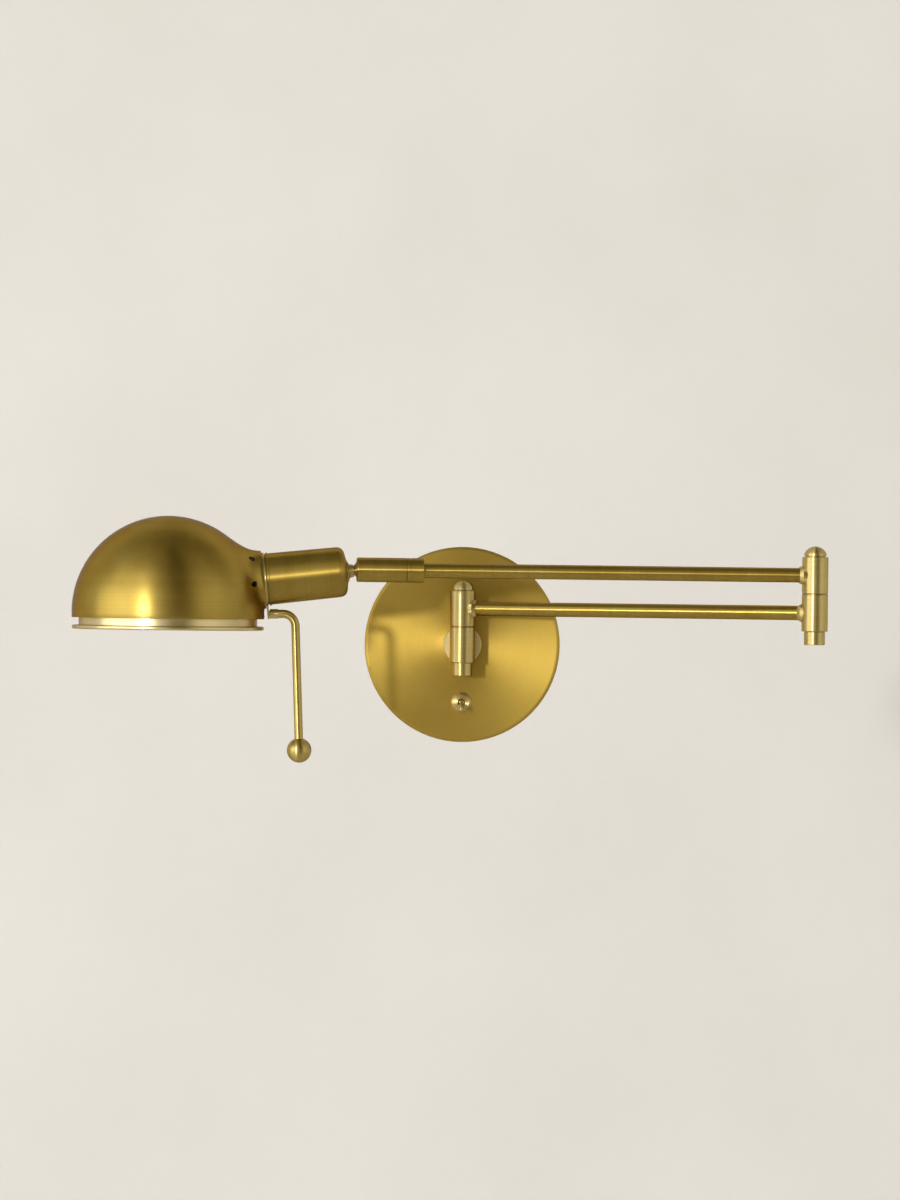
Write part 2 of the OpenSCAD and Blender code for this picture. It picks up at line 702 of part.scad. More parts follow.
module swivel_collar() color("goldenrod") along_upper_arm() difference() {
    union() {
        translate([0, 0, collar_u]) chamfered(sleeve_d, collar_l, sleeve_chamfer);
        translate([0, 0, part_u - 1]) cylinder(d = spigot_d, h = spigot_end - part_u + 1);
    }
    translate([0, 0, collar_u - 1]) cylinder(d = tube_d + 2 * seat_gap, h = tube_seat + 1);
    translate([0, 0, collar_u]) cylinder(d = spigot_bore_d, h = 2 * sleeve_l);
    translate([0, 0, part_u - groove_x - groove_w]) tube(2 * sleeve_d, sleeve_d - 2 * groove_h, groove_w);
}

module swivel_keeper_nut() color("silver") along_upper_arm()
    translate([0, 0, keeper_u])
        tube(sleeve_bore_d - 0.8, spigot_d + 2 * seat_gap, keeper_l);

// Swivel sleeve and what turns with it

module swivel_sleeve() color("goldenrod") along_upper_arm() difference() {
    translate([0, 0, part_u + face_gap]) rotate_extrude() polygon(concat(
        [[0, 0], [sleeve_r - sleeve_chamfer, 0], [sleeve_r, sleeve_chamfer]],
        arc([sleeve_r - mouth_edge_r, sleeve_l - face_gap - mouth_edge_r], mouth_edge_r, 0, 90, 4),
        [[0, sleeve_l - face_gap]]));
    translate([0, 0, part_u]) cylinder(d = sleeve_bore_d, h = upper_reach - part_u);
    translate([0, 0, upper_reach]) sphere(d = ball_d + 2 * run_gap);
    translate([0, 0, upper_reach]) cylinder(d = mouth_d, h = sleeve_l);
}

module swivel_bush() color("silver") along_upper_arm() translate([0, 0, bush_u])
    tube(sleeve_bore_d - 2 * seat_gap, spigot_d + 2 * run_gap, bush_l);

module seat_stop_ring() color("silver") along_upper_arm() translate([0, 0, stop_ring_u])
    tube(sleeve_bore_d - 2 * seat_gap, spigot_bore_d, stop_ring_t);

module seat_spring_washer() color("silver") along_upper_arm() translate([0, 0, spring_u])
    let (outer = sleeve_bore_d / 2 - 0.3, inner = spigot_bore_d / 2 + 0.4)
    rotate_extrude() polygon([[outer, 0], [outer, spring_t], [inner, spring_h],
        [inner, spring_h - spring_t]]);

module ball_seat_cup() color("white") along_upper_arm() difference() {
    translate([0, 0, cup_u]) cylinder(d = sleeve_bore_d - 2 * seat_gap, h = cup_l);
    translate([0, 0, upper_reach]) sphere(d = ball_d + 2 * run_gap);
    translate([0, 0, cup_u - 1]) cylinder(d = spigot_bore_d, h = cup_l);
}

// Head

module ball_stud() color("gold") along_neck() difference() {
    union() {
        sphere(d = ball_d);
        cylinder(d = stud_d, h = stud_end);
    }
    translate([0, 0, -ball_d]) cylinder(d = stud_bore_d, h = ball_d + stud_end + 1);
}

module stud_lock_nut() color("gold") along_neck() translate([0, 0, lock_nut_s]) difference() {
    let (tip_r = lock_nut_tip_d / 2, rim_r = lock_nut_d / 2,
         start = lock_nut_l * 0.35, end = lock_nut_l * 0.86)
    rotate_extrude() polygon(concat(
        [[0, 0], [tip_r - 0.3, 0], [tip_r, 0.3]],
        [for (a = [0 : 15 : 90])
            [rim_r - (rim_r - tip_r) * cos(a), start + (end - start) * sin(a)]],
        [[rim_r, lock_nut_l], [0, lock_nut_l]]));
    translate([0, 0, -1]) cylinder(d = stud_d + 2 * seat_gap, h = lock_nut_l + 2);
}

module stud_inner_nut() color("silver") along_neck()
    translate([0, 0, housing_s + end_wall]) hex_nut(11.5, stud_d + 2 * seat_gap, 3);

// The closed end is a flat cone with a round shoulder
end_flat_r = lock_nut_d / 2 + 0.1;
shoulder_x = housing_end_d / 2 - shoulder_r;
shoulder_z = (shoulder_r + (shoulder_x - end_flat_r) * sin(end_cone)) / cos(end_cone);

module housing_outline() {
    lip_r = lip_d / 2;
    lip_end = housing_l + lip_t;
    polygon(concat([[0, 0], [end_flat_r, 0]],
        arc([shoulder_x, shoulder_z], shoulder_r, end_cone - 90, 0, 9),
        [[housing_d / 2, housing_l], [lip_r - 0.3, housing_l], [lip_r, housing_l + 0.3],
         [lip_r, lip_end - 0.3], [lip_r - 0.3, lip_end], [lip_gap_d / 2, lip_end],
         [lip_gap_d / 2, lip_end + lip_gap], [0, lip_end + lip_gap]]));
}

module housing_cavity() polygon(concat([[0, end_wall], [7, end_wall]],
    arc([shoulder_x, shoulder_z], shoulder_r - 1.4 * housing_wall, -80, 0, 5),
    [[housing_end_d / 2 - housing_wall, shoulder_z + shoulder_r / 4],
     [housing_d / 2 - housing_wall, housing_l],
     [housing_d / 2 - housing_wall, housing_l + lip_t + lip_gap + 1],
     [0, housing_l + lip_t + lip_gap + 1]]));

module socket_housing() color("goldenrod") along_neck() translate([0, 0, housing_s])
    difference() {
        rotate_extrude() housing_outline();
        rotate_extrude() housing_cavity();
        translate([0, 0, -1]) cylinder(d = stud_d + 2 * seat_gap, h = end_wall + 2);
    }

module lampholder() color("dimgray") along_neck() difference() {
    translate([0, 0, holder_s]) cylinder(d = holder_d, h = holder_end - holder_s);
    translate([0, 0, holder_s - 1]) cylinder(d = stud_d + 2 * seat_gap, h = holder_floor + 2);
    translate([0, 0, holder_s + holder_floor])
        cylinder(d = holder_bore_d, h = holder_end - holder_s);
}

module lampholder_shell() color("gold") along_neck()
    translate([0, 0, holder_s + holder_floor])
        tube(holder_bore_d - 2 * seat_gap, bulb_base_d + 2 * pass_gap, shell_l);

module lampholder_contact() color("gold") along_neck()
    translate([0, 0, holder_s + holder_floor]) difference() {
        cylinder(d = 12, h = contact_t);
        translate([4, -10, -1]) cube([10, 20, contact_t + 2]);
    }

module handle_plate() color("goldenrod") along_neck() difference() {
    union() {
        translate([0, 0, plate_s]) linear_extrude(plate_t) {
            circle(d = plate_d);
            translate([-rod_drop, -tab_w / 2]) square([rod_drop, tab_w]);
            translate([-rod_drop, 0]) circle(d = tab_w);
        }
        translate([0, 0, plate_s]) cylinder(d = hub_d, h = plate_t + hub_t);
    }
    translate([0, 0, plate_s - 1])
        cylinder(d = holder_d + 2 * pass_gap, h = plate_t + hub_t + 2);
    translate([-rod_drop, 0, plate_s - 1]) cylinder(d = rod_thread_d + 2 * seat_gap, h = plate_t + 2);
}

root_gap = ferrule_d / 2 * sin(rod_tilt) + 0.1;

module handle_ferrule() color("gold") along_rod() translate([root_gap, 0, 0])
    rotate([0, 90, 0]) tube(ferrule_d, rod_d + rod_swell + 2 * seat_gap, ferrule_l);

// Local y runs down the straight part of the rod, from the end of the bend
module along_lower_rod()
    along_rod() translate([rod_run, rod_bend_r, 0]) rotate([0, 0, rod_bend - 90])
        translate([rod_bend_r, 0, 0]) children();

// The two straight parts swallow the ends of the bend, by a hair all round
rod_over = 0.5;
rod_swell = 0.06;

module handle_rod() color("goldenrod") {
    at_rod_root() translate([-plate_t, 0, 0]) rotate([0, 90, 0])
        cylinder(d = rod_thread_d, h = plate_t + 2);
    along_rod() {
        translate([root_gap, 0, 0]) rotate([0, 90, 0])
            cylinder(d = rod_d + rod_swell, h = rod_run - root_gap + rod_over);
        translate([rod_run, rod_bend_r, 0]) rotate([0, 0, -90])
            rotate_extrude(angle = rod_bend) translate([rod_bend_r, 0]) circle(d = rod_d);
    }
    along_lower_rod() rotate([-90, 0, 0]) translate([0, 0, -rod_over])
        cylinder(d = rod_d + rod_swell, h = rod_l - knob_d / 4 + rod_over);
}

module handle_ball() color("gold") along_lower_rod()
    translate([0, rod_l, 0]) rotate([90, 0, 0]) difference() {
        sphere(d = knob_d);
        translate([0, 0, knob_d / 4])
            cylinder(d = rod_d + rod_swell + 2 * seat_gap, h = knob_d);
    }

module shade_shell() {
    hole = holder_d / 2 + pass_gap;
    inward = shade_wall * [-cos(head_droop), 0, -sin(head_droop)];
    neck_inner = shell_ring(neck_angle, shade_wall);
    rows = concat(
        [for (a = row_angles(neck_angle, row_step)) shell_ring(a, 0)],
        [section_ring(neck_angle, neck_t, hole)],
        [shifted(section_ring(neck_angle, neck_t, hole), inward)],
        [shifted(neck_inner, inward)],
        reversed([for (a = row_angles(inner_stop, row_step)) shell_ring(a, shade_wall)]));
    n = ring_points;
    m = len(rows);
    faces = [for (j = [0 : m - 1], i = [0 : n - 1], half = [0, 1])
        let (k = (j + 1) % m, l = (i + 1) % n)
        half == 0 ? [j * n + i, k * n + i, k * n + l] : [j * n + i, k * n + l, j * n + l]];
    polyhedron([for (row = rows, p = row) p], faces);
}

module shade() color("darkgoldenrod") at_dome() difference() {
    shade_shell();
    translate([neck_x, 0, neck_rise]) rotate([0, -90 - head_droop, 0])
        for (i = [0 : vents - 1]) rotate([0, 0, vent_step * (i - (vents - 1) / 2)])
            translate([0, 0, vent_x]) rotate([0, 90, 0])
                translate([0, 0, neck_d / 2 - 6]) cylinder(d = vent_d, h = 16, $fn = 24);
}

module shade_neck_ring() color("silver") along_neck()
    translate([0, 0, neck_s + shade_wall])
        tube(neck_d - 2 * shade_wall - 1.2, holder_d + 2 * seat_gap, neck_ring_t);

module shade_trim_ring() color("goldenrod") at_dome() translate([0, 0, -rim_drop])
    let (band_r = band_d / 2, bore_r = band_r - trim_wall,
         seat_r = sqrt(pow(dome_r - shade_wall, 2) - rim_drop * rim_drop) - trim_gap)
    rotate_extrude() difference() {
        union() {
            translate([bore_r, -band_h - trim_h])
                square([trim_wall, band_h + trim_h + trim_wall]);
            translate([bore_r, 0]) square([seat_r - bore_r, trim_wall]);
            translate([seat_r - trim_wall, 0]) square([trim_wall, trim_seat_h]);
            polygon(concat([[bore_r, -band_h], [bore_r, -band_h - trim_h]],
                arc([trim_d / 2 - 1, -band_h - trim_h + 1], 1, -90, 0, 4),
                arc([trim_d / 2 - 1, -band_h - 1], 1, 0, 90, 4)));
        }
    }

module bulb_base() color("silver") along_neck() translate([0, 0, bulb_s]) difference() {
    union() {
        cylinder(d = 9, h = base_tip_l);
        translate([0, 0, base_tip_l])
            cylinder(d1 = 9, d2 = bulb_base_d, h = base_cone_l);
        translate([0, 0, base_tip_l + base_cone_l])
            cylinder(d = bulb_base_d, h = bulb_base_l);
    }
    translate([0, 0, base_tip_l + base_cone_l + 1])
        cylinder(d = bulb_base_d - 1, h = bulb_base_l);
}

module bulb_outline(inset) {
    neck_r = bulb_base_d / 2 - 0.6 - inset;
    r = bulb_d / 2 - inset;
    start = base_end - 4;
    tip = bulb_s + bulb_l - bulb_d / 2;
    polygon([[0, start], [neck_r, start], [neck_r, holder_end + 1], [r, holder_end + 11],
        [r, tip], [0, tip]]);
    intersection() {
        translate([0, tip]) circle(r = r);
        translate([0, tip]) square(r + 1);
    }
}

module bulb_glass() color("white") along_neck() rotate_extrude() difference() {
    bulb_outline(0);
    bulb_outline(glass_t);
}

mounting_bracket();
canopy_set_screws();
ground_screw();
canopy();
wall_boss();
wall_nipple();
nipple_lock_washer();
nipple_hex_nut();
wall_fixed_barrel();
wall_pivot_pin();
wall_pivot_cap();
wall_pivot_nut();
wall_friction_washer();
switch_body();
switch_bushing();
switch_back_nut();
switch_dress_nut();
switch_lever();
lower_arm_wall_barrel();
lower_arm_tube();
lower_arm_elbow_barrel();
elbow_pin();
elbow_cap();
elbow_nut();
elbow_friction_washer();
upper_arm_barrel();
upper_arm_tube();
swivel_collar();
swivel_keeper_nut();
swivel_sleeve();
swivel_bush();
seat_stop_ring();
seat_spring_washer();
ball_seat_cup();
ball_stud();
stud_lock_nut();
stud_inner_nut();
socket_housing();
lampholder();
lampholder_shell();
lampholder_contact();
handle_plate();
handle_ferrule();
handle_rod();
handle_ball();
shade();
shade_neck_ring();
shade_trim_ring();
bulb_base();
bulb_glass();
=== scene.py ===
"""Articulating wall light in satin aged brass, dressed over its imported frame.

Metres, in the frame of the CAD: the wall is the plane y = 0, +Z is up and the light
reaches towards -Y. The carried pieces keep their own form and get their finish here. The
shade alone is made again, with finer rows.
"""

import json
import math

import bmesh
import bpy
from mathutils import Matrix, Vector


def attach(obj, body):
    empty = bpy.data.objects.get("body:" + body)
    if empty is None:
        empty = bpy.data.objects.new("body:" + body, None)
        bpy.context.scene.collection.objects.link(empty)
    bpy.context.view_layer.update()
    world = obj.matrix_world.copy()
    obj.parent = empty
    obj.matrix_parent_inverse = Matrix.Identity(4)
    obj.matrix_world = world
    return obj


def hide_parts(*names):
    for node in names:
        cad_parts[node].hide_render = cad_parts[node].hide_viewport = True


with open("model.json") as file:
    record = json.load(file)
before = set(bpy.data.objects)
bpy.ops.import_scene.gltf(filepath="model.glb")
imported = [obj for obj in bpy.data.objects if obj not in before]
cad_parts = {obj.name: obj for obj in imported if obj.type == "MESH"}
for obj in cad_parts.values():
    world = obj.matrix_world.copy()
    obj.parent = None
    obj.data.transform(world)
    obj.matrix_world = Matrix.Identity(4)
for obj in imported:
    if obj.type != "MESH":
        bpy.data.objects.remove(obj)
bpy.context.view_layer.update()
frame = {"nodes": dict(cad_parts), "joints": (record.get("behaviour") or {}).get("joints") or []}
nodes = frame["nodes"]
MM = 0.001


# Axes of the pieces that turn, read from the joints

joints = {joint["name"]: joint for joint in frame["joints"]}
wall_axis_at = Vector(joints["wall_pivot"]["pos_m"])
elbow_axis_at = Vector(joints["elbow_pivot"]["pos_m"])
toggle_at = Vector(joints["switch_toggle"]["pos_m"])
ball_at = Vector(joints["head_tilt"]["pos_m"])
upper_arm_dir = Vector(joints["head_swivel"]["axis"]).normalized()
lower_arm_dir = Vector((elbow_axis_at.x - wall_axis_at.x, elbow_axis_at.y - wall_axis_at.y, 0))
lower_arm_dir.normalize()
yaw_of_arm = math.atan2(-upper_arm_dir.y, -upper_arm_dir.x)
UP = Vector((0, 0, 1))
OUT = Vector((0, -1, 0))


# Places that the joints don't give: the canopy's axis, the neck, the dome and the rod

HEAD_DROOP = math.radians(6.4)
NECK_FROM_BALL = 65.4 * MM
NECK_X, NECK_Z = 60.197 * MM, 21.6 * MM
canopy_at = Vector((0, 0, 0))
neck_dir = upper_arm_dir * math.cos(HEAD_DROOP) - UP * math.sin(HEAD_DROOP)
neck_at = ball_at + neck_dir * NECK_FROM_BALL
dome_at = neck_at + upper_arm_dir * NECK_X - UP * NECK_Z
rod_at = dome_at + Vector((84 * MM, 5 * MM, 0))


# Shader node helpers

def add_node(tree, kind, **settings):
    node = tree.nodes.new(kind)
    for name, value in settings.items():
        setattr(node, name, value)
    return node


def feed(tree, socket, value):
    """Links another node's output to a socket, or sets the socket to a plain value."""
    if hasattr(value, "links"):
        tree.links.new(value, socket)
    else:
        socket.default_value = value


def vector_math(tree, operation, first, second=None):
    node = add_node(tree, "ShaderNodeVectorMath", operation=operation)
    feed(tree, node.inputs[0], first)
    if second is not None:
        feed(tree, node.inputs[1], second)
    return node.outputs["Value" if operation in ("DOT_PRODUCT", "LENGTH") else "Vector"]


def scaled(tree, vector, factor):
    node = add_node(tree, "ShaderNodeVectorMath", operation="SCALE")
    feed(tree, node.inputs[0], vector)
    feed(tree, node.inputs["Scale"], factor)
    return node.outputs[0]


def number_math(tree, operation, first, second):
    node = add_node(tree, "ShaderNodeMath", operation=operation)
    feed(tree, node.inputs[0], first)
    feed(tree, node.inputs[1], second)
    return node.outputs[0]


def noise(tree, vector, scale, detail=2.0, roughness=0.5):
    node = add_node(tree, "ShaderNodeTexNoise")
    node.inputs["Scale"].default_value = scale
    node.inputs["Detail"].default_value = detail
    node.inputs["Roughness"].default_value = roughness
    tree.links.new(vector, node.inputs["Vector"])
    return node.outputs["Fac"]


def ramp(tree, factor, stops):
    node = add_node(tree, "ShaderNodeValToRGB")
    elements = node.color_ramp.elements
    while len(elements) < len(stops):
        elements.new(0.5)
    for element, (place, colour) in zip(elements, stops):
        element.position = place
        element.color = (*colour, 1.0)
    tree.links.new(factor, node.inputs["Fac"])
    return node.outputs["Color"]


def between(tree, factor, low, high, start=0.0, end=1.0):
    """Runs from low to high as the factor runs from start to end."""
    node = add_node(tree, "ShaderNodeMapRange")
    node.inputs["From Min"].default_value = start
    node.inputs["From Max"].default_value = end
    node.inputs["To Min"].default_value = low
    node.inputs["To Max"].default_value = high
    tree.links.new(factor, node.inputs["Value"])
    return node.outputs["Result"]


def bump(tree, shader, height, strength, depth):
    node = add_node(tree, "ShaderNodeBump")
    node.inputs["Strength"].default_value = strength
    node.inputs["Distance"].default_value = depth
    tree.links.new(height, node.inputs["Height"])
    tree.links.new(node.outputs["Normal"], shader.inputs["Normal"])


def new_material(name):
    material = bpy.data.materials.new(name)
    material.use_nodes = True
    tree = material.node_tree
    shader = tree.nodes["Principled BSDF"]
    position = add_node(tree, "ShaderNodeTexCoord").outputs["Object"]
    return material, tree, shader, position


# The brush lines that all satin brass shares

# Steps outwards on a flat face against steps along the axis, and the pattern's span once round
OUTWARDS, ROUND_SPAN = 1.37, 1.6


def turned_brush_group():
    """Fine brush lines that run round a turned piece, as a height, a tone and a blotch mask."""
    tree = bpy.data.node_groups.new("turned_brushing", "ShaderNodeTree")
    face = tree.interface
    for name in ("Position", "Centre", "Axis"):
        face.new_socket(name, in_out="INPUT", socket_type="NodeSocketVector")
    face.new_socket("Lines", in_out="INPUT", socket_type="NodeSocketFloat")
    for name in ("Height", "Tone", "Blotch"):
        face.new_socket(name, in_out="OUTPUT", socket_type="NodeSocketFloat")
    given = add_node(tree, "NodeGroupInput").outputs
    result = add_node(tree, "NodeGroupOutput").inputs
    rel = vector_math(tree, "SUBTRACT", given["Position"], given["Centre"])
    along = vector_math(tree, "DOT_PRODUCT", rel, given["Axis"])
    across = vector_math(tree, "SUBTRACT", rel, scaled(tree, given["Axis"], along))
    radius = vector_math(tree, "LENGTH", across)
    around = vector_math(tree, "NORMALIZE", across)
    step = number_math(tree, "ADD", along, number_math(tree, "MULTIPLY", radius, OUTWARDS))
    lift = scaled(tree, given["Axis"], number_math(tree, "MULTIPLY", step, given["Lines"]))
    spot = vector_math(tree, "ADD", lift, scaled(tree, around, ROUND_SPAN))
    tree.links.new(noise(tree, spot, scale=1.0, detail=3.0), result["Height"])
    tree.links.new(noise(tree, spot, scale=0.12, detail=4.0), result["Tone"])
    tree.links.new(noise(tree, given["Position"], scale=38.0, detail=5.0, roughness=0.62),
                   result["Blotch"])
    return tree


turned_brushing = turned_brush_group()


# Finishes

# Darkest, middle and lightest tone of the spun shade and the tubes, the pressed canopy, the
# drawn rod, the turned pieces and the polished trim ring. The paler sets are partly the pieces'
# own finish and partly painted light: they are lightened to the brightness of the light and
# reflections that the canopy, the rod, the turned pieces and the trim ring catch
AGED = ((0.34, 0.228, 0.038), (0.41, 0.286, 0.058), (0.48, 0.35, 0.09))
PRESSED_AND_LIT = ((0.47, 0.318, 0.052), (0.52, 0.357, 0.068), (0.57, 0.40, 0.088))
DRAWN_AND_LIT = ((0.48, 0.36, 0.10), (0.56, 0.43, 0.14), (0.64, 0.51, 0.19))
TURNED_AND_LIT = ((0.60, 0.46, 0.16), (0.68, 0.54, 0.215), (0.76, 0.63, 0.285))
POLISHED_AND_SHEEN = ((0.70, 0.57, 0.27), (0.77, 0.645, 0.34), (0.84, 0.72, 0.42))
# Where those tones sit in the mix of streaks and blotches, and the blotches' share of the mix
TONE_PLACES, BLOTCH_SHARE = (0.22, 0.50, 0.78), 0.6
# What brushed brass still reflects at a glancing look, as a share of a smooth one's
GLANCING = (0.40, 0.33, 0.35, 1.0)
BRUSH_DEPTH = 0.02 * MM


def satin_brass(name, centre, axis, tones=AGED, lines=5200.0, rough=(0.33, 0.39), grain=0.14,
                stretch=0.95):
    """Satin aged brass, brushed in circles about an axis, under a thin clear lacquer.

    lines counts the brush lines in a metre, rough is the lowest and highest roughness, grain
    is how strongly the lines stand out, and stretch how far they draw the highlight out.
    """
    material, tree, shader, position = new_material(name)
    brush = add_node(tree, "ShaderNodeGroup", node_tree=turned_brushing)
    tree.links.new(position, brush.inputs["Position"])
    brush.inputs["Centre"].default_value = centre
    brush.inputs["Axis"].default_value = axis
    brush.inputs["Lines"].default_value = lines
    mix = add_node(tree, "ShaderNodeMix", data_type="FLOAT")
    mix.inputs["Factor"].default_value = BLOTCH_SHARE
    tree.links.new(brush.outputs["Tone"], mix.inputs["A"])
    tree.links.new(brush.outputs["Blotch"], mix.inputs["B"])
    tree.links.new(ramp(tree, mix.outputs["Result"], list(zip(TONE_PLACES, tones))),
                   shader.inputs["Base Color"])
    tree.links.new(between(tree, brush.outputs["Blotch"], *rough), shader.inputs["Roughness"])
    bump(tree, shader, brush.outputs["Height"], grain, BRUSH_DEPTH)
    # The tangent runs round the axis, and the quarter turn draws the highlight across the lines
    rel = vector_math(tree, "SUBTRACT", position, centre)
    round_axis = vector_math(tree, "CROSS_PRODUCT", axis, rel)
    tree.links.new(vector_math(tree, "NORMALIZE", round_axis), shader.inputs["Tangent"])
    shader.inputs["Anisotropic"].default_value = stretch
    shader.inputs["Anisotropic Rotation"].default_value = 0.25
    shader.inputs["Metallic"].default_value = 1.0
    shader.inputs["Specular Tint"].default_value = GLANCING
    shader.inputs["Coat Weight"].default_value = 0.1
    shader.inputs["Coat Roughness"].default_value = 0.3
    return material


def mottled(name, stops, rough, spread, scale, detail, strength, depth, metallic):
    """A fine mottling that shows in the tone, in the gloss and in the height."""
    material, tree, shader, position = new_material(name)
    mottling = noise(tree, position, scale, detail)
    tree.links.new(ramp(tree, mottling, stops), shader.inputs["Base Color"])
    tree.links.new(between(tree, mottling, rough - spread, rough + spread),
                   shader.inputs["Roughness"])
    bump(tree, shader, mottling, strength, depth)
    shader.inputs["Metallic"].default_value = metallic
    return material


def plain_metal(name, dark, light, rough):
    """A plated, rolled or cast metal."""
    return mottled(name, [(0.3, dark), (0.7, light)], rough, spread=0.08, scale=900.0,
                   detail=4.0, strength=0.15, depth=0.05 * MM, metallic=1.0)


def moulded(name, dark, light, rough):
    """A moulded or painted piece."""
    return mottled(name, [(0.35, dark), (0.65, light)], rough, spread=0.05, scale=600.0,
                   detail=3.0, strength=0.2, depth=0.04 * MM, metallic=0.0)


def frosted_glass(name):
    """The bulb's white frosted glass."""
    material, tree, shader, position = new_material(name)
    frost = noise(tree, position, scale=260.0)
    tree.links.new(ramp(tree, frost, [(0.3, (0.80, 0.79, 0.76)), (0.7, (0.86, 0.85, 0.82))]),
                   shader.inputs["Base Color"])
    tree.links.new(between(tree, frost, 0.30, 0.42), shader.inputs["Roughness"])
    shader.inputs["Transmission Weight"].default_value = 0.35
    shader.inputs["IOR"].default_value = 1.45
    return material


# The spun shade: the CAD's own loft, with finer rows, a rolled wall and rounded edges

DOME_R, RIM_DROP, SHEET = 62.3 * MM, 3.9 * MM, 1.1 * MM
NECK_R, NECK_HOLE_R = 19.05 * MM, 14.85 * MM
NECK_TURN = math.pi / 2 - HEAD_DROOP
# The planes of all rings turn about one line, where the rim's plane meets the neck's. The
# neck's plane passes this far outside the dome, at the height of the dome's middle
PLANE_GAP = 0.32 * MM
HINGE_X = DOME_R + PLANE_GAP + RIM_DROP * math.tan(HEAD_DROOP)
# From that line to the middle of the neck's face
NECK_MIDDLE = (NECK_Z + RIM_DROP) / math.cos(HEAD_DROOP)
# From this turn on the rings leave the dome and flare into the neck. Where they meet it, their
# ends below and above still move this much for each degree of turn
FLARE_START = math.radians(64)
FLARE_BELOW, FLARE_ABOVE = 0.3 * MM, -0.15 * MM
RING_POINTS, ROWS = 96, 46
# The finer rings stay this much inside the CAD's coarser ones
HAIR = 0.18 * MM
# A low lip on the neck's face, round the plate's shoulder
LIP_R, LIP_H = 16.1 * MM, 1.0 * MM
EDGE_ROUND, EDGE_STEPS, EDGE_ANGLE = 0.3 * MM, 3, math.radians(50)
SMOOTH_ANGLE = math.radians(35)
VENTS, VENT_DEGREES, VENT_R, VENT_FROM_NECK = 5, 48, 1.9 * MM, 5.2 * MM
# The drill for each vent, and how far its middle lies outside the neck
DRILL_SIDES, DRILL_LENGTH, DRILL_OUT = 32, 16 * MM, 2 * MM


def deselect_all():
    for piece in bpy.context.selected_objects:
        piece.select_set(False)


def select_only(*pieces):
    deselect_all()
    for piece in pieces:
        piece.select_set(True)
    bpy.context.view_layer.objects.active = pieces[0]


def apply_modifiers(piece):
    select_only(piece)
    for modifier in list(piece.modifiers):
        bpy.ops.object.modifier_apply(modifier=modifier.name)


def settle(piece, name):
    """Puts the object's origin at the frame's origin, with its place in its mesh."""
    select_only(piece)
    bpy.ops.object.transform_apply(location=True, rotation=True, scale=True)
    piece.name = name
    piece.data.name = name


def cubic(t, start, start_slope, end, end_slope):
    """A cubic through both ends at the slopes given there, as t runs from 0 to 1."""
    return (start * (1 + 2 * t) * (1 - t) ** 2 + start_slope * t * (1 - t) ** 2
            + end * t * t * (3 - 2 * t) + end_slope * t * t * (t - 1))


def dome_ends(turn):
    """Where the plane that is turned up from the rim by this angle enters and leaves the dome."""
    middle = HINGE_X * math.cos(turn) + RIM_DROP * math.sin(turn)
    half = math.sqrt(middle ** 2 - HINGE_X ** 2 - RIM_DROP ** 2 + DOME_R ** 2)
    return middle - half, middle + half


def shade_ends(turn):
    """The same for the whole shade: past the flare's start its ends run on to the neck's."""
    if turn <= FLARE_START:
        return dome_ends(turn)
    step = math.radians(0.5)
    span = NECK_TURN - FLARE_START
    t = (turn - FLARE_START) / span
    slopes = [(after - before) / (2 * step) * span for before, after in
              zip(dome_ends(FLARE_START - step), dome_ends(FLARE_START + step))]
    neck_ends = (NECK_MIDDLE - NECK_R, NECK_MIDDLE + NECK_R)
    neck_slopes = [slope * math.degrees(span) for slope in (FLARE_BELOW, FLARE_ABOVE)]
    return [cubic(t, *ends) for ends in
            zip(dome_ends(FLARE_START), slopes, neck_ends, neck_slopes)]


def shade_rings():
    """Turn, radius, middle and lift of each ring, from the rim over the lip to the neck's hole."""
    rings = []
    for row in range(ROWS + 1):
        turn = NECK_TURN * row / ROWS
        near, far = shade_ends(turn)
        rings.append((turn, (far - near) / 2 - HAIR, (far + near) / 2, 0.0))
    for radius, lift in ((NECK_R - HAIR, LIP_H), (LIP_R, LIP_H), (LIP_R, 0.0), (NECK_HOLE_R, 0.0)):
        rings.append((NECK_TURN, radius, NECK_MIDDLE, lift))
    return rings


def add_shade_ring(turn, radius, middle, lift):
    """A ring in the plane at this turn, lifted off the neck's face towards the plate."""
    x, z = HINGE_X - middle * math.cos(turn), middle * math.sin(turn) - RIM_DROP
    bpy.ops.mesh.primitive_circle_add(
        vertices=RING_POINTS, radius=radius,
        location=dome_at - upper_arm_dir * x + UP * z - neck_dir * lift,
        rotation=(0, math.pi + turn, yaw_of_arm))


def select_two_rings(piece, row):
    """Selects a ring and the next one, for the bridge between them."""
    mesh = bmesh.from_edit_mesh(piece.data)
    mesh.verts.ensure_lookup_table()
    for items in (mesh.faces, mesh.edges, mesh.verts):
        for item in items:
            item.select = False
    for vert in mesh.verts:
        vert.select = row * RING_POINTS <= vert.index < (row + 2) * RING_POINTS
    for edge in mesh.edges:
        edge.select = all(vert.select for vert in edge.verts)
    bmesh.update_edit_mesh(piece.data)


def spin_sheet(name):
    """The shade as one sheet without thickness, bridged from ring to ring."""
    rings = shade_rings()
    deselect_all()
    add_shade_ring(*rings[0])
    sheet = bpy.context.object
    settle(sheet, name)
    bpy.ops.object.mode_set(mode="EDIT")
    for ring in rings[1:]:
        add_shade_ring(*ring)
    bpy.ops.mesh.select_mode(type="EDGE")
    for row in range(len(rings) - 1):
        select_two_rings(sheet, row)
        bpy.ops.mesh.bridge_edge_loops()
    bpy.ops.mesh.select_all(action="SELECT")
    bpy.ops.mesh.normals_make_consistent(inside=False)
    bpy.ops.object.mode_set(mode="OBJECT")
    return sheet


